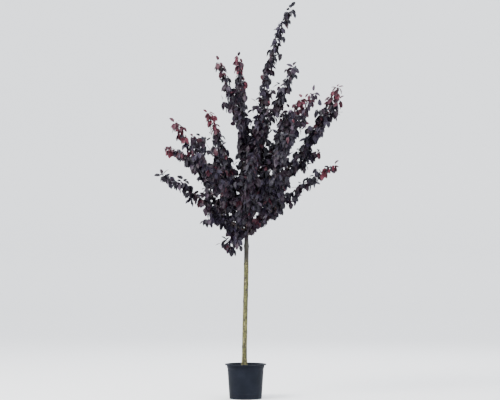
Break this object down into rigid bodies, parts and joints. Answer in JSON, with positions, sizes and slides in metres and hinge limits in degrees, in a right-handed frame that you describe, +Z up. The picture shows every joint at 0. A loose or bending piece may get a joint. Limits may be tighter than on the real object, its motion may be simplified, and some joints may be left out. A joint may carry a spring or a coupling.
{
  "type": "potted purple-leaved cherry plum tree",
  "caption": "Young half-standard cherry plum with a slim clear trunk, an open crown of ascending purple-leaved shoots and a round nursery pot.",
  "frame": {"origin": "centre of the pot's flat underside, on the floor", "axes": "+Z up along the trunk; +X to the right seen from the front, the side to which the tall leading shoot leans; -Y to the front"},
  "size_m": [1.7571, 1.6789, 3.671],
  "materials": {
    "pot_plastic": "satin, dusty",
    "potting_compost": "matt, crumbly",
    "trunk_bark": "smooth bark with corky spots",
    "bough_bark": "smooth young bark",
    "foliage": "soft sheen"
  },
  "bodies": {
    "root": {"pot": "pot_plastic", "root_ball": "potting_compost", "trunk": "trunk_bark", "bough_back": "bough_bark", "bough_back_left": "bough_bark", "bough_back_right": "bough_bark", "bough_far_back_right": "bough_bark", "bough_front": "bough_bark", "bough_front_left": "bough_bark", "bough_front_right": "bough_bark", "bough_leader": "bough_bark", "bough_left": "bough_bark", "bough_low_left": "bough_bark", "bough_low_right": "bough_bark", "bough_near_front_right": "bough_bark", "bough_right": "bough_bark", "bough_steep_left": "bough_bark", "bough_tall_left": "bough_bark", "foliage_back": "foliage", "foliage_back_left": "foliage", "foliage_back_right": "foliage", "foliage_far_back_right": "foliage", "foliage_front": "foliage", "foliage_front_left": "foliage", "foliage_front_right": "foliage", "foliage_heart_back": "foliage", "foliage_heart_front": "foliage", "foliage_heart_left": "foliage", "foliage_heart_right": "foliage", "foliage_inner_back_left": "foliage", "foliage_inner_back_right": "foliage", "foliage_inner_front_left": "foliage", "foliage_inner_front_right": "foliage", "foliage_leader": "foliage", "foliage_left": "foliage", "foliage_low_left": "foliage", "foliage_low_right": "foliage", "foliage_lowest_left": "foliage", "foliage_near_front_right": "foliage", "foliage_right": "foliage", "foliage_steep_left": "foliage", "foliage_tall_left": "foliage"}
  },
  "joints": []
}
